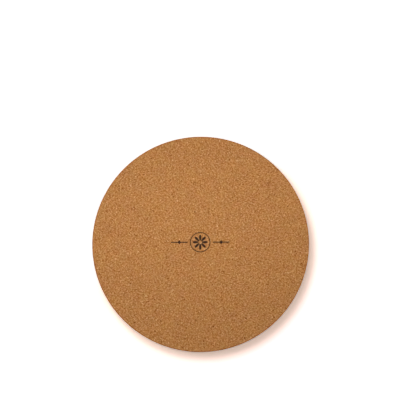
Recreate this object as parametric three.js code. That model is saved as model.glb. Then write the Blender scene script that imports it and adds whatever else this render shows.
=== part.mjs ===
// A round cork-backed table mat, lying face down with its cork side up.
// Millimetres, +Z up. The origin is the middle of the glossy face, in the plane that the mat lies on.
import * as THREE from "three";

// Driving dimensions. The layers are named from the face upwards.
const MAT_DIAMETER = 300;
const OVERLAY_THICKNESS = 0.2;
const DECOR_PAPER_THICKNESS = 0.2;
const CORE_THICKNESS = 3;
const BALANCING_SHEET_THICKNESS = 0.2;
const ADHESIVE_THICKNESS = 0.2;
const CORK_THICKNESS = 2;
const EDGE_SEAL_THICKNESS = 0.3;
const FACE_ARRIS = 0.15; // chamfer of the sealed edge where it meets the face
const CORK_EDGE_ROUND = 0.4; // the cork's cut upper edge, softened by sanding and handling

// Facets. Every piece has the same rim corners, so that neighbours meet face to face.
const RIM_SEGMENTS = 120;
const ROUND_STEPS = 2; // an arc is drawn with twice as many facets

// What follows from the driving dimensions.
const MAT_RADIUS = MAT_DIAMETER / 2;
const BOARD_RADIUS = MAT_RADIUS - EDGE_SEAL_THICKNESS; // the cut edge that the lacquer covers

const OVERLAY_TOP = OVERLAY_THICKNESS;
const DECOR_PAPER_TOP = OVERLAY_TOP + DECOR_PAPER_THICKNESS;
const CORE_TOP = DECOR_PAPER_TOP + CORE_THICKNESS;
const BOARD_TOP = CORE_TOP + BALANCING_SHEET_THICKNESS;
const ADHESIVE_TOP = BOARD_TOP + ADHESIVE_THICKNESS;
const CORK_TOP = ADHESIVE_TOP + CORK_THICKNESS;

// Profile of a plain disc between two heights, from the axis out along the bottom and back along the top.
function discProfile(radius, bottom, top) {
  return new THREE.Path()
    .moveTo(0, bottom)
    .lineTo(radius, bottom)
    .lineTo(radius, top)
    .lineTo(0, top);
}

// Profile of a disc whose upper edge is rounded by an arc.
function roundedDiscProfile(radius, bottom, top, round) {
  return new THREE.Path()
    .moveTo(0, bottom)
    .lineTo(radius, bottom)
    .lineTo(radius, top - round)
    .absarc(radius - round, top - round, round, 0, Math.PI / 2, false)
    .lineTo(0, top);
}

// Profile of the band round the board, a closed loop with a chamfer at the lower outer corner.
function edgeBandProfile(inner, outer, top, chamfer) {
  return new THREE.Path()
    .moveTo(inner, 0)
    .lineTo(outer - chamfer, 0)
    .lineTo(outer, chamfer)
    .lineTo(outer, top)
    .lineTo(inner, top)
    .lineTo(inner, 0);
}

// A piece turned from its profile.
function turnedPiece(name, profile, finish) {
  const geometry = new THREE.LatheGeometry(profile.getPoints(ROUND_STEPS), RIM_SEGMENTS);
  const piece = new THREE.Mesh(geometry, new THREE.MeshStandardMaterial(finish));
  piece.name = name;
  return piece;
}

const mat = new THREE.Group();
mat.rotation.x = Math.PI / 2; // a lathe turns about Y, and the mat's axis is Z

mat.add(
  turnedPiece("clear_overlay", discProfile(BOARD_RADIUS, 0, OVERLAY_TOP), {
    color: 0xf3eee2,
    roughness: 0.15,
    metalness: 0,
  }),
  turnedPiece("decor_paper", discProfile(BOARD_RADIUS, OVERLAY_TOP, DECOR_PAPER_TOP), {
    color: 0xefe7d6,
    roughness: 0.8,
    metalness: 0,
  }),
  turnedPiece("board_core", discProfile(BOARD_RADIUS, DECOR_PAPER_TOP, CORE_TOP), {
    color: 0x9a7449,
    roughness: 0.85,
    metalness: 0,
  }),
  turnedPiece("balancing_sheet", discProfile(BOARD_RADIUS, CORE_TOP, BOARD_TOP), {
    color: 0x6d4c30,
    roughness: 0.6,
    metalness: 0,
  }),
  turnedPiece("edge_seal", edgeBandProfile(BOARD_RADIUS, MAT_RADIUS, BOARD_TOP, FACE_ARRIS), {
    color: 0x5a3a22,
    roughness: 0.4,
    metalness: 0,
  }),
  turnedPiece("cork_adhesive", discProfile(MAT_RADIUS, BOARD_TOP, ADHESIVE_TOP), {
    color: 0xc9a667,
    roughness: 0.5,
    metalness: 0,
  }),
  turnedPiece("cork_backing", roundedDiscProfile(MAT_RADIUS, ADHESIVE_TOP, CORK_TOP, CORK_EDGE_ROUND), {
    color: 0xb27a48,
    roughness: 0.9,
    metalness: 0,
  }),
);

// The turned group stands inside a plain one, whose axes are the part's own.
const part = new THREE.Group();
part.add(mat);

export default part;
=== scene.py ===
"""Looks of a round cork-backed table mat that lies face down, cork side up. Metres, +Z up."""
import math

import bpy
import numpy as np
from mathutils import Matrix, Vector


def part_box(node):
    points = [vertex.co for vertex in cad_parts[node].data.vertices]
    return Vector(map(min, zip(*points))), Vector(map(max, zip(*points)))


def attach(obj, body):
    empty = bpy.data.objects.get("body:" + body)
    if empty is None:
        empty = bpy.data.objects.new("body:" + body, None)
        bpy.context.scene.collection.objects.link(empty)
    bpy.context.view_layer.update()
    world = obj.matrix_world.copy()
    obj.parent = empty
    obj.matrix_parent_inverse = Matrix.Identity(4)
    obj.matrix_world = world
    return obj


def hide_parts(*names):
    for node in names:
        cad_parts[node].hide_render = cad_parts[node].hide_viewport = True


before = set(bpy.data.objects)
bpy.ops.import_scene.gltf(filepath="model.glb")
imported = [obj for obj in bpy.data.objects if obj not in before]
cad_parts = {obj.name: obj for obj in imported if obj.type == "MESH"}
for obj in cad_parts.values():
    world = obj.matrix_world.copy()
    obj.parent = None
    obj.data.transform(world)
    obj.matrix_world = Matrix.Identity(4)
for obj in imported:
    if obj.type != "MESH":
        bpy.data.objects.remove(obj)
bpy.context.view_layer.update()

MM = 0.001
CREASE = math.radians(50)  # faces that meet at a sharper turn keep a crisp edge

# Sizes read from the frame.
CORK_LOW, CORK_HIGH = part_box("cork_backing")
BAND_LOW, BAND_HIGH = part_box("edge_seal")
FACE_LOW, FACE_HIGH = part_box("clear_overlay")
MAT_RADIUS = CORK_HIGH.x
BOARD_RADIUS = FACE_HIGH.x

# The cork sheet: granules, the seams between them and the cut edge.
GRANULE_SPACING = 1.8 * MM
GRANULE_SHIFT = 0.30  # how far a granule strays from its even place, as a share of the spacing
CORNER_PULL = 0.3  # how unevenly the granules that meet at a corner pull it their way
SANDED_UNEVENNESS = 0.03 * MM
SEAM_DEPTHS = 0.02 * MM, 0.07 * MM  # the least and the greatest
PIT_DEPTHS = 0.12 * MM, 0.25 * MM
PIT_SHARE = 0.10  # of the corners where granules meet
CORK_EDGE_ROUND = 0.4 * MM
EDGE_ARC_STEPS = 4
EDGE_WALL_STEPS = 3
EDGE_CHIP, CHIP_POWER = 0.10 * MM, 3  # the deepest chip, and the power that makes deep ones rare

# Tones of the cork, from 0, the darkest, to 1.
MEAN_TONE = 0.5
TONE_SPREAD = 0.061  # from granule to granule
BARK_TONE, BARK_SHARE = -0.20, 0.022  # how much darker a granule of bark is, and how many there are
PALE_TONE, PALE_SHARE = 0.17, 0.022  # the same for granules of the palest cork
EDGE_TONE = 0.48  # on the cut edge, which is darkened further because it counts as seam all over
GRAIN_SIZE, GRAIN_TONE = 0.45 * MM, 0.30  # the fine grain, and how far apart its tones lie
CRUMB_SIZE, CRUMB_TONE = 0.70 * MM, 0.39  # the same for the crumbs that make up a granule
SEAM_TONE = -0.14  # how much darker the binder in the seams is
SEAM_SHARPNESS = 5.0  # the power that narrows the darkening to a line

# Other patterns of the cork and its ink.
GRAIN_DETAIL = 2.0  # layers of finer noise
GRAIN_RELIEF, GRAIN_STRENGTH = 0.06 * MM, 0.4  # height, and how strongly it bends the light
HUE_PATCH = 14.0 * MM  # the largest patches of one hue
HUE_ROUGHNESS = 0.7  # how strong the smaller patches in them are
CORK_ROUGHNESS, INK_ROUGHNESS = 0.92, 0.75

# The lacquered band and the glossy face.
RIM_STEPS = 600
BAND_ARRIS = 0.15 * MM  # radius of the band's lower outer corner
BAND_ARC_POINTS = 5
BORDER_LINES = ((138.0 * MM, 1.2 * MM), (134.5 * MM, 0.5 * MM))  # radius and width of the printed rings

# The ornament printed on the cork, in millimetres: an eight-petalled rosette in a ring between two rules.
PETALS = 8
PETAL_REACH = 10.5  # from the middle
PETAL_FULLNESS = 0.75  # below 1, a petal is broader than a plain wave
HUB_RADIUS = 2.4  # of the bare middle
RING_RADIUS = 13.5
RING_WIDTH = 1.2
RULE_MIDDLE = 29.0  # its distance from the middle of the mat
RULE_LENGTH = 23.0
RULE_WIDTH = 1.4
LOZENGE_HALF = 2.8  # from its middle to a corner
INK_SOFTNESS = 0.2  # how far an edge of the ink fades to either side
INK_IN_SEAMS = 0.75  # share of the ink that the seams take

# Colours.
CORK_TONES = ("733708", "A6642B", "C98B50", "E4AD72", "F9C995")  # evenly spaced, from dark to light
DULL_TINT, GOLDEN_TINT = "E8E5FD", "FCFFE8"
ROSY_TINT, OLIVE_TINT = "FFF1F7", "EFFDF7"
INK = "1C130F"
LACQUER_DARK, LACQUER_LIGHT = "4C2C15", "663F22"
IVORY_SHADE, IVORY, BORDER = "EAE1CE", "F1EADB", "8A6B45"
FIBRE_DARK, FIBRE_LIGHT = "86623C", "A98153"
KRAFT_DARK, KRAFT_LIGHT = "5E4028", "785637"
GLUE_DARK, GLUE_LIGHT = "B8935A", "D2B078"
FLOOR = "E4E0DB"

# Patterns of the smoother finishes.
NOISE_DETAIL = 4.0  # layers of finer noise, also in the cork's patches of hue
NOISE_LOW, NOISE_HIGH = 0.3, 0.7  # most of a noise lies between them
ROUGHNESS_SWING = 0.06  # how far a roughness wavers up and down
RELIEF_STRENGTH = 0.3  # how strongly a faint relief bends the light

# Maps for baking a finish: the middle and half the width of the side that shows, the middle and the relative
# size of the hidden side, and how wide the edges lie round the side that shows, as shares of its radius.
MAP_MIDDLE, MAP_HALF = 0.5, 0.49
HIDDEN_MIDDLE, HIDDEN_SIZE = 0.08, 0.1
CORK_EDGE_IN_MAP, FACE_EDGE_IN_MAP = 0.10, 0.03

# The floor's half width, and how far it lies under the mat.
FLOOR_HALF, FLOOR_DROP = 6.0, 0.05 * MM

# The lit floor as the picture shows it, where 1 is white. Towards the lamps it is exposed evenly, just
# beyond white. On the other side its colour carries painted shade: darker and warm at the mat's rim,
# where the shadow falls, and whiter outwards, so the shadow's depth and tint there are partly painted.
FLOOR_BY_LAMPS = (1.09, 1.09, 1.09)
# Painted shade: the floor's colour at the rim on the shadow side, and where it has faded to whiter.
FLOOR_PAINTED_SHADE_AT_RIM = (1.30, 1.03, 0.88)
FLOOR_PAST_PAINTED_SHADE = (2.03, 1.18, 1.45)
SHADOW_AZIMUTH = -58.0  # in degrees from +X
# Where the painted shade comes in across the mat.
PAINTED_SHADE_FROM, PAINTED_SHADE_TO = -0.4, 0.0  # along that azimuth, in mat radii
# How the painted shade fades outwards.
FADE_SHIFT = 0.016  # how far along that azimuth the middle of the fade lies, in mat radii
FADE_FROM = 1.01  # where the fade begins, in mat radii from that middle
FADE_TO = (1.20, 1.07, 1.20)  # where it ends for red, green and blue

# Light, as shares of the plain level at which a colour renders as it is written. The near strip is in watts.
KEY_LAMPS = (  # share, azimuth, elevation and angular size in degrees
    (0.115, 121, 15, 24),
    (0.060, 103, 28, 23),
    (0.110, 150, 20, 34),
)
TOP_SHARE, TOP_ANGLE = 0.184, 6.0
LAMP_DISTANCE = 2.0  # of these, and it changes nothing because their rays are parallel
WORLD_SHARE = 0.131
NEAR_WATTS, NEAR_PLACE, NEAR_SIZE = 0.49, Vector((-0.035, 0.077, 0.28)), (0.48, 0.05)
NEAR_TURN = 12.0  # of its length out of the X direction, in degrees

# Camera: place, point that it looks at and lens, from the outline of the mat in the photograph.
CAMERA_PLACE = Vector((0.0415, -0.1703, 1.3012))
CAMERA_AIM = Vector((-0.0003, 0.0593, 0.0054))
CAMERA_LENS_MM = 85.0

# The one source of chance, seeded so that every run draws the same.
SEED = 7
chance = np.random.default_rng(SEED)


# Helpers.
def linear(hex_colour):
    """An sRGB hex colour as linear RGBA."""
    values = np.array([int(hex_colour[i:i + 2], 16) for i in (0, 2, 4)]) / 255
    return (*np.where(values <= 0.04045, values / 12.92, ((values + 0.055) / 1.055) ** 2.4), 1.0)


def add(tree, kind, sockets=None, **settings):
    """Adds a node, sets its properties, and gives each socket, by name or number, a value or a link."""
    made = tree.nodes.new(kind)
    for name, value in settings.items():
        setattr(made, name, value)
    for name, value in (sockets or {}).items():
        if isinstance(value, bpy.types.Node):
            value = value.outputs[0]
        if isinstance(value, bpy.types.NodeSocket):
            tree.links.new(value, made.inputs[name])
        else:
            made.inputs[name].default_value = value
    return made


def new_material(name, sockets):
    """Makes a node material with those values on its Principled shader. Returns it, its node tree and the
    shader."""
    material = bpy.data.materials.new(name)
    material.use_nodes = True
    material.node_tree.nodes.clear()
    shader = add(material.node_tree, "ShaderNodeBsdfPrincipled", sockets)
    add(material.node_tree, "ShaderNodeOutputMaterial", {"Surface": shader})
    return material, material.node_tree, shader


def join(tree, shader, colour, roughness, relief):
    """Links the nodes for its colour, its roughness and its relief to a shader."""
    for socket, node in {"Base Color": colour, "Roughness": roughness, "Normal": relief}.items():
        tree.links.new(node.outputs[0], shader.inputs[socket])


def new_piece(name, points, triangles, material):
    """A mesh object at the origin, made of triangles."""
    mesh = bpy.data.meshes.new(name)
    mesh.from_pydata(points, [], triangles)
    mesh.materials.append(material)
    mesh.shade_smooth()
    mesh.set_sharp_from_angle(angle=CREASE)
    piece = bpy.data.objects.new(name, mesh)
    bpy.context.scene.collection.objects.link(piece)
    return piece


def add_bake_map(piece, triangles, flattened, hidden):
    """The map for baking the finish: the points' flattened places fill the square, and the triangles of the
    hidden side lie small in its corner."""
    fitted = MAP_HALF * flattened / np.abs(flattened).max()
    large, small = MAP_MIDDLE + fitted, HIDDEN_MIDDLE + HIDDEN_SIZE * fitted
    places = np.where(hidden[:, None, None], small[triangles], large[triangles])
    piece.data.uv_layers.new(name="OFBake").uv.foreach_set("vector", places.astype(np.float32).ravel())


# Shapes.
def ring_start(ring):
    """Number of a ring's first point in a lattice where ring j has 6 j points round one centre point."""
    return np.where(ring == 0, 0, 1 + 3 * ring * (ring - 1))


def ring_lattice(rings):
    """A disc of points in even rings: ring j has 6 j points, so that neighbours are equally far apart
    everywhere. Returns each point's ring and turn, and the triangles. In each sixth of the circle, point k
    of a ring joins points k and k + 1 of the next ring, and points k and k + 1 of its own ring join point
    k + 1 of the next."""
    counts = np.maximum(6 * np.arange(rings + 1), 1)
    ring = np.repeat(np.arange(rings + 1), counts)
    turn = (np.arange(len(ring)) - ring_start(ring)) / counts[ring]
    j, sixth, k = np.meshgrid(np.arange(rings), np.arange(6), np.arange(rings), indexing="ij")

    def number(on_ring, step):
        return ring_start(on_ring) + step % np.maximum(6 * on_ring, 1)

    inner, inner_next = number(j, sixth * j + k), number(j, sixth * j + k + 1)
    outer, outer_next = number(j + 1, sixth * (j + 1) + k), number(j + 1, sixth * (j + 1) + k + 1)
    pointing_in = np.stack([inner, outer, outer_next], -1)[k <= j]
    pointing_out = np.stack([inner, outer_next, inner_next], -1)[k < j]
    return ring, turn, np.concatenate([pointing_in, pointing_out])


def granule_cells(triangles, count):
    """Cells round the points of a triangle lattice. Each side a to b of a lattice triangle gives granule a
    one triangle, from a to the corners in the middles of the two lattice triangles that share the side. On
    the rim, where no second triangle exists, it spans a, b and the one corner. Corner numbers follow the
    lattice points. Returns the triangles and the granule of each."""
    start = triangles.ravel()
    end = np.roll(triangles, -1, axis=1).ravel()
    corner = np.repeat(np.arange(len(triangles)), 3)
    key, opposite = start * count + end, end * count + start
    order = np.argsort(key)
    found = order[np.minimum(np.searchsorted(key, opposite, sorter=order), len(key) - 1)]
    on_rim = key[found] != opposite
    across = np.where(on_rim, end, count + corner[found])
    return np.stack([start, across, count + corner], -1), start


def granule_tones(lattice, count):
    """Tones of the granules: chance, less the mean of what chance gave the neighbours, so that each stands
    out from those around it. A few granules are bark, and a few are of the palest cork."""
    drawn = chance.standard_normal(count)
    start, end = lattice.ravel(), np.roll(lattice, -1, axis=1).ravel()
    nearby = np.bincount(start, drawn[end]) / np.bincount(start)
    lot = chance.random(count)
    odd = BARK_TONE * (lot < BARK_SHARE) + PALE_TONE * (lot > 1 - PALE_SHARE)
    return MEAN_TONE + TONE_SPREAD * (drawn - nearby) + odd


def granulated_top(rings, radius):
    """The sanded side of the cork: a ring lattice whose points stray a little and become the middles of low
    cells. The corners between cells lie deeper, and some are open pits. Returns the lattice points followed
    by the corners, the triangles, the granule of each triangle, and the granules' tones."""
    ring, turn, lattice = ring_lattice(rings)
    count, inside = len(ring), ring < rings
    angle = 2 * np.pi * turn
    middle = radius / rings * ring[:, None] * np.stack([np.cos(angle), np.sin(angle)], -1)
    middle += inside[:, None] * chance.uniform(-1, 1, (count, 2)) * GRANULE_SHIFT * GRANULE_SPACING
    sunk = inside * chance.uniform(0, SANDED_UNEVENNESS, count)

    weight = chance.uniform(1 - CORNER_PULL, 1 + CORNER_PULL, (len(lattice), 3, 1))
    corner = (middle[lattice] * weight).sum(1) / weight.sum(1)
    seam = chance.uniform(*SEAM_DEPTHS, len(lattice))
    pit = chance.uniform(*PIT_DEPTHS, len(lattice)) * (chance.random(len(lattice)) < PIT_SHARE)
    depth = np.concatenate([sunk, np.maximum(seam, pit)])
    points = np.column_stack([np.concatenate([middle, corner]), CORK_HIGH.z - depth])
    return points, *granule_cells(lattice, count), granule_tones(lattice, count)


def cut_edge(around):
    """Rows of points under the rim of the sanded side, whose directions are given: round a quarter arc and
    then straight down to the glue, with small chips inwards."""
    arc = np.linspace(0, np.pi / 2, EDGE_ARC_STEPS + 1)[1:]
    fall = np.linspace(0, 1, EDGE_WALL_STEPS + 1)[1:]
    wall_top = CORK_HIGH.z - CORK_EDGE_ROUND
    radius = MAT_RADIUS - CORK_EDGE_ROUND * (1 - np.sin(np.append(arc, np.full(len(fall), np.pi / 2))))
    height = np.append(wall_top + CORK_EDGE_ROUND * np.cos(arc), wall_top + fall * (CORK_LOW.z - wall_top))
    chip = EDGE_CHIP * chance.random((len(radius), len(around))) ** CHIP_POWER
    chip[-1] = 0  # where the cork meets the glue
    out = radius[:, None] - chip
    level = np.broadcast_to(height[:, None], out.shape)
    return np.concatenate([out[..., None] * around, level[..., None]], -1)


def wall_triangles(rows):
    """Two triangles for each square between neighbouring rows of points, facing out where rows go down."""
    following = np.roll(rows, -1, axis=1)
    upper, upper_next, lower, lower_next = rows[:-1], following[:-1], rows[1:], following[1:]
    first = np.stack([upper, lower, lower_next], -1)
    second = np.stack([upper, lower_next, upper_next], -1)
    return np.stack([first, second], 2).reshape(-1, 3)


def cork_sheet(material):
    """The cork disc: its granulated top, the cut edge from the rim down, and the plain glued side. Each
    granule has its tone on its triangles. The points between granules, and the cut edge, count as seams."""
    rings = round(MAT_RADIUS / GRANULE_SPACING)
    flat_radius = MAT_RADIUS - CORK_EDGE_ROUND
    top_points, top, granule, tones = granulated_top(rings, flat_radius)
    rim = ring_start(rings) + np.arange(6 * rings)
    angle = 2 * np.pi * np.arange(len(rim)) / len(rim)
    around = np.stack([np.cos(angle), np.sin(angle)], -1)
    edge = cut_edge(around)

    rows = len(top_points) + np.arange(edge[..., 0].size).reshape(edge.shape[:2])
    base_middle = rows[-1, -1] + 1
    side = wall_triangles(np.vstack([rim, rows]))
    base = np.stack([rows[-1], np.full(len(rim), base_middle), np.roll(rows[-1], -1)], -1)
    points = np.concatenate([top_points, edge.reshape(-1, 3), [[0, 0, CORK_LOW.z]]])
    triangles = np.concatenate([top, side, base])

    tones[rim] = EDGE_TONE
    edge_tones = EDGE_TONE + TONE_SPREAD * chance.standard_normal(len(side) // 2)
    tone = np.concatenate([tones[granule], edge_tones.repeat(2), np.full(len(base), MEAN_TONE)])
    seam = np.zeros(len(points))
    seam[rim[0]:base_middle] = 1

    piece = new_piece("cork_sheet", points, triangles, material)
    for name, domain, values in (("granule_tone", "FACE", tone), ("granule_seam", "POINT", seam)):
        piece.data.attributes.new(name, "FLOAT", domain).data.foreach_set("value", values.astype(np.float32))
    # In the map for baking, the cut edge lies round the sanded side.
    spread = flat_radius * np.linspace(1, 1 + CORK_EDGE_IN_MAP, len(rows) + 1)[1:, None, None] * around
    flattened = np.concatenate([top_points[:, :2], spread.reshape(-1, 2), [[0, 0]]])
    add_bake_map(piece, triangles, flattened, np.arange(len(triangles)) >= len(top) + len(side))
    return piece


def turned(profile):
    """Points and triangles of a profile of (radius, height) points carried round the axis. A point on the
    axis is one vertex. The profile runs anticlockwise, from the axis out along the bottom and back, or in a
    loop."""
    radius, height = np.array(profile).T
    counts = np.where(radius > 0, RIM_STEPS, 1)
    first = np.cumsum(counts) - counts
    rows = first[:, None] + np.where(radius[:, None] > 0, np.arange(RIM_STEPS), 0)
    angle = 2 * np.pi * np.arange(RIM_STEPS) / RIM_STEPS
    points = [
        np.column_stack([r * np.cos(angle), r * np.sin(angle), np.full(RIM_STEPS, h)])[:n]
        for r, h, n in zip(radius, height, counts)
    ]
    if radius.min() > 0:
        rows = np.concatenate([rows, rows[:1]])
    triangles = wall_triangles(rows[::-1])
    a, b, c = triangles.T
    return np.concatenate(points), triangles[(a != b) & (b != c) & (c != a)]


def lacquered_edge(material):
    """The lacquer on the board's cut edge: a thin ring whose lower outer corner is a quarter arc."""
    arc = np.linspace(-np.pi / 2, 0, BAND_ARC_POINTS)
    corner = np.column_stack([
        MAT_RADIUS - BAND_ARRIS + BAND_ARRIS * np.cos(arc),
        BAND_LOW.z + BAND_ARRIS + BAND_ARRIS * np.sin(arc),
    ])
    profile = [(BOARD_RADIUS, BAND_LOW.z), *corner, (MAT_RADIUS, BAND_HIGH.z), (BOARD_RADIUS, BAND_HIGH.z)]
    return new_piece("lacquered_edge", *turned(profile), material)


def glossy_face(material):
    """The pressed wear layer: a thin flat disc. Its upper side is glued to the paper and hidden. In the map
    for baking it is mirrored, as it is seen from below."""
    profile = [(0, FACE_LOW.z), (BOARD_RADIUS, FACE_LOW.z), (BOARD_RADIUS, FACE_HIGH.z), (0, FACE_HIGH.z)]
    points, triangles = turned(profile)
    piece = new_piece("glossy_face", points, triangles, material)
    upper = points[:, 2] > (FACE_LOW.z + FACE_HIGH.z) / 2
    flattened = points[:, :2] * (1 + FACE_EDGE_IN_MAP * upper[:, None]) * (-1, 1)
    add_bake_map(piece, triangles, flattened, upper[triangles].all(1))
    return piece


# Materials.
def rosette_in_ring(tree, flat):
    """How far a point lies inside the petals or the ring, in mm. Round the middle, the petals reach as far
    as a wave raised to a power, and the hub inside them is left bare."""
    place = add(tree, "ShaderNodeSeparateXYZ", {0: flat}).outputs
    angle = add(tree, "ShaderNodeMath", {0: place["Y"], 1: place["X"]}, operation="ARCTAN2")
    half_waves = add(tree, "ShaderNodeMath", {0: angle, 1: PETALS / 2}, operation="MULTIPLY")
    wave = add(tree, "ShaderNodeMath", {0: half_waves}, operation="COSINE")
    lobes = add(tree, "ShaderNodeMath", {0: wave}, operation="ABSOLUTE")
    fuller = add(tree, "ShaderNodeMath", {0: lobes, 1: PETAL_FULLNESS}, operation="POWER")
    reach = add(tree, "ShaderNodeMath", {0: fuller, 1: PETAL_REACH}, operation="MULTIPLY")
    far = add(tree, "ShaderNodeVectorMath", {0: flat}, operation="LENGTH").outputs["Value"]
    flower = add(tree, "ShaderNodeMath", {0: reach, 1: far}, operation="SUBTRACT")
    past_hub = add(tree, "ShaderNodeMath", {0: far, 1: HUB_RADIUS}, operation="SUBTRACT")
    petals = add(tree, "ShaderNodeMath", {0: flower, 1: past_hub}, operation="MINIMUM")
    past_ring = add(tree, "ShaderNodeMath", {0: far, 1: RING_RADIUS}, operation="SUBTRACT")
    off_ring = add(tree, "ShaderNodeMath", {0: past_ring}, operation="ABSOLUTE")
    ring = add(tree, "ShaderNodeMath", {0: RING_WIDTH / 2, 1: off_ring}, operation="SUBTRACT")
    return add(tree, "ShaderNodeMath", {0: petals, 1: ring}, operation="MAXIMUM")


def rules_with_lozenges(tree, flat):
    """How far a point lies inside the rules to both sides or the lozenges on their middles, in mm."""
    mirrored = add(tree, "ShaderNodeVectorMath", {0: flat}, operation="ABSOLUTE")
    place = add(tree, "ShaderNodeSeparateXYZ", {0: mirrored}).outputs
    past_middle = add(tree, "ShaderNodeMath", {0: place["X"], 1: RULE_MIDDLE}, operation="SUBTRACT")
    along = add(tree, "ShaderNodeMath", {0: past_middle}, operation="ABSOLUTE")
    rule_end = add(tree, "ShaderNodeMath", {0: RULE_LENGTH / 2, 1: along}, operation="SUBTRACT")
    rule_side = add(tree, "ShaderNodeMath", {0: RULE_WIDTH / 2, 1: place["Y"]}, operation="SUBTRACT")
    rule = add(tree, "ShaderNodeMath", {0: rule_end, 1: rule_side}, operation="MINIMUM")
    spread = add(tree, "ShaderNodeMath", {0: along, 1: place["Y"]}, operation="ADD")
    lozenge = add(tree, "ShaderNodeMath", {0: LOZENGE_HALF, 1: spread}, operation="SUBTRACT")
    return add(tree, "ShaderNodeMath", {0: rule, 1: lozenge}, operation="MAXIMUM")


def ink_ornament(tree, where):
    """How much ink the ornament lays at a point, from 0 to 1, by how far the point lies inside it."""
    flat = add(tree, "ShaderNodeVectorMath", {0: where, 1: (1 / MM, 1 / MM, 0)}, operation="MULTIPLY")
    shapes = {0: rosette_in_ring(tree, flat), 1: rules_with_lozenges(tree, flat)}
    inside = add(tree, "ShaderNodeMath", shapes, operation="MAXIMUM")
    softness = {"Value": inside, "From Min": -INK_SOFTNESS, "From Max": INK_SOFTNESS}
    return add(tree, "ShaderNodeMapRange", softness, interpolation_type="SMOOTHSTEP")


def speckled_cork(tree, where, grain, seam_line):
    """The bare cork's colour, picked from its tones: a granule's own tone, varied by the grain and the
    crumbs and darker in the seams."""
    tone = add(tree, "ShaderNodeAttribute", attribute_name="granule_tone").outputs["Fac"]
    crumbs = add(tree, "ShaderNodeTexVoronoi", {"Vector": where, "Scale": 1 / CRUMB_SIZE})
    crumb = add(tree, "ShaderNodeSeparateColor", {"Color": crumbs.outputs["Color"]}).outputs["Red"]
    pattern_mean = (GRAIN_TONE + CRUMB_TONE) / 2
    shade = add(tree, "ShaderNodeMath", {0: tone, 1: pattern_mean}, operation="SUBTRACT")
    for pattern, depth in ((grain, GRAIN_TONE), (crumb, CRUMB_TONE), (seam_line, SEAM_TONE)):
        shade = add(tree, "ShaderNodeMath", {0: pattern, 1: depth, 2: shade}, operation="MULTIPLY_ADD")
    ramp = add(tree, "ShaderNodeValToRGB", {"Fac": shade})
    stops = ramp.color_ramp.elements
    for number in range(1, len(CORK_TONES) - 1):
        stops.new(number / (len(CORK_TONES) - 1))
    for stop, colour in zip(stops, CORK_TONES):
        stop.color = linear(colour)
    return ramp


def strayed_hue(tree, where, colour):
    """A colour that strays in wide faint patches, between dull and golden and between rosy and olive."""
    patches = {"Scale": 1 / HUE_PATCH, "Detail": NOISE_DETAIL, "Roughness": HUE_ROUGHNESS}
    hues = add(tree, "ShaderNodeTexNoise", {"Vector": where, **patches}).outputs["Color"]
    strays = add(tree, "ShaderNodeSeparateColor", {"Color": hues}).outputs
    for stray, (one, other) in zip(strays, ((DULL_TINT, GOLDEN_TINT), (ROSY_TINT, OLIVE_TINT))):
        tint = add(tree, "ShaderNodeMixRGB", {"Fac": stray, "Color1": linear(one), "Color2": linear(other)})
        tinted = {"Fac": 1.0, "Color1": colour, "Color2": tint}
        colour = add(tree, "ShaderNodeMixRGB", tinted, blend_type="MULTIPLY")
    return colour


def agglomerated_cork():
    """Agglomerated cork: ground bark pressed with a binder, sliced and sanded. The eye gets matt speckles,
    each crumb in its own tone, in faint patches from rosy to golden brown, with darker binder in the seams
    and pits. The print is thin ink, a little smoother than the cork and thinner in the seams."""
    material, tree, shader = new_material("agglomerated_cork", {"IOR": 1.45, "Specular IOR Level": 0.15})
    where = add(tree, "ShaderNodeTexCoord").outputs["Object"]
    fine = {"Vector": where, "Scale": 1 / GRAIN_SIZE, "Detail": GRAIN_DETAIL}
    grain = add(tree, "ShaderNodeTexNoise", fine)
    seam = add(tree, "ShaderNodeAttribute", attribute_name="granule_seam").outputs["Fac"]
    seam_line = add(tree, "ShaderNodeMath", {0: seam, 1: SEAM_SHARPNESS}, operation="POWER")
    bare = strayed_hue(tree, where, speckled_cork(tree, where, grain, seam_line))

    taken = add(tree, "ShaderNodeMapRange", {"Value": seam_line, "To Min": 1.0, "To Max": INK_IN_SEAMS})
    ink = add(tree, "ShaderNodeMath", {0: ink_ornament(tree, where), 1: taken}, operation="MULTIPLY")
    colour = add(tree, "ShaderNodeMixRGB", {"Fac": ink, "Color1": bare, "Color2": linear(INK)})
    smoother = {"Value": ink, "To Min": CORK_ROUGHNESS, "To Max": INK_ROUGHNESS}
    rough = add(tree, "ShaderNodeMapRange", smoother)
    relief = {"Height": grain, "Strength": GRAIN_STRENGTH, "Distance": GRAIN_RELIEF}
    join(tree, shader, colour, rough, add(tree, "ShaderNodeBump", relief))
    return material


def two_tones(tree, dark, light, grain_mm, stretch=(1, 1, 1)):
    """A noise of that grain size, drawn out where a stretch is below 1, and two close tones mixed by it."""
    where = add(tree, "ShaderNodeTexCoord").outputs["Object"]
    drawn_out = add(tree, "ShaderNodeMapping", {"Vector": where, "Scale": stretch})
    noise = {"Vector": drawn_out, "Scale": 1 / (grain_mm * MM), "Detail": NOISE_DETAIL}
    grain = add(tree, "ShaderNodeTexNoise", noise)
    span = {"Value": grain, "From Min": NOISE_LOW, "From Max": NOISE_HIGH}
    mixed = add(tree, "ShaderNodeMapRange", span)
    colour = add(tree, "ShaderNodeMixRGB", {"Fac": mixed, "Color1": linear(dark), "Color2": linear(light)})
    return grain, colour


def lay_finish(tree, shader, colour, grain, roughness, relief_mm):
    """Gives the shader a colour, with a roughness that wavers and a faint relief, both by the grain."""
    swing = {"To Min": roughness - ROUGHNESS_SWING, "To Max": roughness + ROUGHNESS_SWING}
    rough = add(tree, "ShaderNodeMapRange", {"Value": grain, **swing})
    relief = {"Height": grain, "Strength": RELIEF_STRENGTH, "Distance": relief_mm * MM}
    join(tree, shader, colour, rough, add(tree, "ShaderNodeBump", relief))


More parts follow.
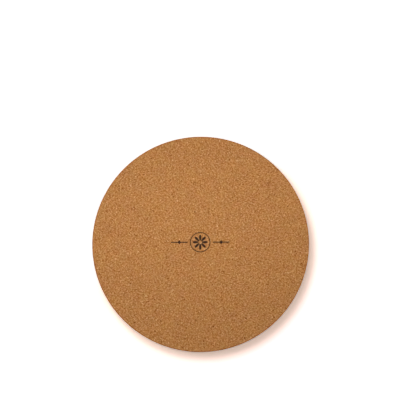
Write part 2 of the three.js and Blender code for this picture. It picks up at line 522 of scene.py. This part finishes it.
def border_rings(tree, ground):
    """The printed ground with its thin brown rings."""
    where = add(tree, "ShaderNodeTexCoord").outputs["Object"]
    flat = add(tree, "ShaderNodeVectorMath", {0: where, 1: (1, 1, 0)}, operation="MULTIPLY")
    far = add(tree, "ShaderNodeVectorMath", {0: flat}, operation="LENGTH").outputs["Value"]
    colour = ground
    for radius, width in BORDER_LINES:
        line = add(tree, "ShaderNodeMath", {0: far, 1: radius, 2: width / 2}, operation="COMPARE")
        colour = add(tree, "ShaderNodeMixRGB", {"Fac": line, "Color1": colour, "Color2": linear(BORDER)})
    return colour


def melamine_overlay():
    """Melamine wear layer, pressed against a polished plate: the print shows under a hard, clear gloss."""
    gloss = {"IOR": 1.6, "Coat Weight": 1.0, "Coat Roughness": 0.06, "Coat IOR": 1.6}
    material, tree, shader = new_material("melamine_overlay", gloss)
    grain, ground = two_tones(tree, IVORY_SHADE, IVORY, grain_mm=1.5)
    lay_finish(tree, shader, border_rings(tree, ground), grain, roughness=0.30, relief_mm=0.004)
    return material


def printed_paper():
    """Decor paper: the same print without the gloss, matt and slightly cloudy."""
    material, tree, shader = new_material("printed_paper", {"IOR": 1.5})
    grain, ground = two_tones(tree, IVORY_SHADE, IVORY, grain_mm=1.5)
    lay_finish(tree, shader, border_rings(tree, ground), grain, roughness=0.75, relief_mm=0.004)
    return material


def edge_lacquer():
    """Brown lacquer sprayed on the sanded board edge: a dull satin film, a little cloudy along the edge."""
    material, tree, shader = new_material("edge_lacquer", {"IOR": 1.5, "Specular IOR Level": 0.3})
    grain, colour = two_tones(tree, LACQUER_DARK, LACQUER_LIGHT, grain_mm=2.5, stretch=(1, 1, 0.3))
    lay_finish(tree, shader, colour, grain, roughness=0.45, relief_mm=0.02)
    return material


def fibreboard():
    """Pressed wood fibre: matt, felted, with the fibres lying in thin layers."""
    material, tree, shader = new_material("fibreboard", {"IOR": 1.45})
    grain, colour = two_tones(tree, FIBRE_DARK, FIBRE_LIGHT, grain_mm=0.8, stretch=(1, 1, 4))
    lay_finish(tree, shader, colour, grain, roughness=0.85, relief_mm=0.05)
    return material


def kraft_backer():
    """Kraft paper soaked in resin: dark brown, with a dull sheen."""
    material, tree, shader = new_material("kraft_backer", {"IOR": 1.5})
    grain, colour = two_tones(tree, KRAFT_DARK, KRAFT_LIGHT, grain_mm=1.2)
    lay_finish(tree, shader, colour, grain, roughness=0.60, relief_mm=0.01)
    return material


def contact_glue():
    """Contact glue spread with a comb: a thin amber film that shows as a line under the cork."""
    material, tree, shader = new_material("contact_glue", {"IOR": 1.5})
    grain, colour = two_tones(tree, GLUE_DARK, GLUE_LIGHT, grain_mm=2.0)
    lay_finish(tree, shader, colour, grain, roughness=0.45, relief_mm=0.02)
    return material


# Stage.
def picture_rays(tree):
    """1 for rays that end up in the picture as seen directly, in a reflection or through glass, else 0."""
    path = add(tree, "ShaderNodeLightPath").outputs
    seen = path["Is Camera Ray"]
    for kind in ("Is Glossy Ray", "Is Transmission Ray"):
        seen = add(tree, "ShaderNodeMath", {0: seen, 1: path[kind]}, operation="MAXIMUM")
    return seen


def exposed_floor_with_painted_shade(tree):
    """The floor's colour in the picture: across the mat from the even one to the shadow's, which carries
    painted shade. There red, green and blue each rise outwards at their own rate, from the darker, warm
    painted shade at the rim to the whiter colour."""
    where = add(tree, "ShaderNodeTexCoord").outputs["Object"]
    turn = math.radians(SHADOW_AZIMUTH)
    towards_shadow = Vector((math.cos(turn), math.sin(turn), 0))
    along = add(tree, "ShaderNodeVectorMath", {0: where, 1: towards_shadow}, operation="DOT_PRODUCT")
    # How much of the painted shade replaces the even colour, across the mat.
    across = {"From Min": PAINTED_SHADE_FROM * MAT_RADIUS, "From Max": PAINTED_SHADE_TO * MAT_RADIUS}
    across["Value"] = along.outputs["Value"]
    warm = add(tree, "ShaderNodeMapRange", across, interpolation_type="SMOOTHSTEP")

    floor_share = sum(key[0] for key in KEY_LAMPS) + TOP_SHARE + WORLD_SHARE
    even = (*np.divide(FLOOR_BY_LAMPS, floor_share), 1.0)
    middle = FADE_SHIFT * MAT_RADIUS * towards_shadow
    far = add(tree, "ShaderNodeVectorMath", {0: where, 1: middle}, operation="DISTANCE")
    # Painted shade: each channel rises from the darker rim colour to the whiter one outwards.
    channels = []
    for at_rim, past, end in zip(FLOOR_PAINTED_SHADE_AT_RIM, FLOOR_PAST_PAINTED_SHADE, FADE_TO):
        fade = {"From Min": FADE_FROM * MAT_RADIUS, "From Max": end * MAT_RADIUS}
        levels = {"To Min": at_rim / floor_share, "To Max": past / floor_share}
        channels.append(add(tree, "ShaderNodeMapRange", {"Value": far.outputs["Value"], **fade, **levels}))
    shadow_side = add(tree, "ShaderNodeCombineColor", dict(enumerate(channels)))
    return add(tree, "ShaderNodeMixRGB", {"Fac": warm, "Color1": even, "Color2": shadow_side})


def studio_floor():
    """A wide pale floor just under the mat. Rays that make the picture see it overexposed, so that it is
    white where it is lit and keeps the mat's shadow, whose warm tint and depth at the rim are partly
    painted shade in the floor's colour. The mat itself is lit by a plain pale floor."""
    material = bpy.data.materials.new("studio_floor")
    material.use_nodes = True
    tree = material.node_tree
    tree.nodes.clear()
    plain = add(tree, "ShaderNodeBsdfDiffuse", {"Color": linear(FLOOR)})
    bright = add(tree, "ShaderNodeBsdfDiffuse", {"Color": exposed_floor_with_painted_shade(tree)})
    mixed = add(tree, "ShaderNodeMixShader", {0: picture_rays(tree), 1: plain, 2: bright})
    add(tree, "ShaderNodeOutputMaterial", {"Surface": mixed})
    square = ((-1, -1), (1, -1), (1, 1), (-1, 1))
    corners = [(x * FLOOR_HALF, y * FLOOR_HALF, -FLOOR_DROP) for x, y in square]
    mesh = bpy.data.meshes.new("floor")
    mesh.from_pydata(corners, [], [(0, 1, 2, 3)])
    mesh.materials.append(material)
    floor = bpy.data.objects.new("floor", mesh)
    bpy.context.scene.collection.objects.link(floor)


def aim(made, place, target):
    """Puts a lamp or camera at a place and points it at a target, with +Y up in its view."""
    ahead = (target - place).normalized()
    right = ahead.cross(Vector((0, 1, 0))).normalized()
    made.location = place
    made.rotation_euler = Matrix((right, right.cross(ahead), -ahead)).transposed().to_euler()
    bpy.context.scene.collection.objects.link(made)


def lamp(name, kind, place, strength, **settings):
    """A lamp at that place, aimed at the middle of the mat."""
    data = bpy.data.lights.new(name, kind)
    data.energy = strength
    for setting, value in settings.items():
        setattr(data, setting, value)
    made = bpy.data.objects.new(name, data)
    made.visible_camera = False
    aim(made, place, Vector((0, 0, 0)))
    return made


def studio_light(lit_pieces):
    """A wide soft key low on the far side, in three lamps, a light from above, and a faint even surround. A
    near strip lights the mat alone and makes it brightest a little above its middle."""
    for number, (share, azimuth, elevation, size) in enumerate(KEY_LAMPS):
        turn, rise = math.radians(azimuth), math.radians(elevation)
        place = Vector((math.cos(rise) * math.cos(turn), math.cos(rise) * math.sin(turn), math.sin(rise)))
        strength = share * math.pi / math.sin(rise)
        lamp(f"key_{number}", "SUN", LAMP_DISTANCE * place, strength, angle=math.radians(size))
    above = Vector((0, 0, LAMP_DISTANCE))
    lamp("top", "SUN", above, TOP_SHARE * math.pi, angle=math.radians(TOP_ANGLE))

    long, wide = NEAR_SIZE
    near = lamp("near", "AREA", NEAR_PLACE, NEAR_WATTS, shape="RECTANGLE", size=long, size_y=wide)
    near.rotation_euler.rotate_axis("Z", math.radians(NEAR_TURN))
    lit = bpy.data.collections.new("lit_by_near_lamp")
    for piece in lit_pieces:
        lit.objects.link(piece)
    near.light_linking.receiver_collection = lit

    world = bpy.data.worlds.new("surround")
    world.use_nodes = True
    tree = world.node_tree
    tree.nodes.clear()
    seen = {"Value": picture_rays(tree), "To Min": WORLD_SHARE, "To Max": 1.0}
    strength = add(tree, "ShaderNodeMapRange", seen)
    background = add(tree, "ShaderNodeBackground", {"Color": (1, 1, 1, 1), "Strength": strength})
    add(tree, "ShaderNodeOutputWorld", {"Surface": background})
    bpy.context.scene.world = world


def camera():
    """The photograph's view: almost straight down, leaning a little towards the near side."""
    data = bpy.data.cameras.new("camera")
    data.lens = CAMERA_LENS_MM
    made = bpy.data.objects.new("camera", data)
    aim(made, CAMERA_PLACE, CAMERA_AIM)
    bpy.context.scene.camera = made


# The scene.
bpy.context.scene.view_settings.view_transform = "Standard"
camera()
studio_floor()

# New pieces, with the node that each stands for and its slot.
dressed = (
    (cork_sheet(agglomerated_cork()), "cork_backing", "agglomerated_cork"),
    (lacquered_edge(edge_lacquer()), "edge_seal", "edge_lacquer"),
    (glossy_face(melamine_overlay()), "clear_overlay", "melamine_overlay"),
)
for piece, node, slot in dressed:
    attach(piece, "root")
    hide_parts(node)
studio_light([piece for piece, node, slot in dressed])

# Nodes whose shape is right, and which get their material only.
carried = {
    "decor_paper": printed_paper(),
    "board_core": fibreboard(),
    "balancing_sheet": kraft_backer(),
    "cork_adhesive": contact_glue(),
}
for node, material in carried.items():
    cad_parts[node].data.materials.clear()
    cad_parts[node].data.materials.append(material)

bpy.context.view_layer.update()
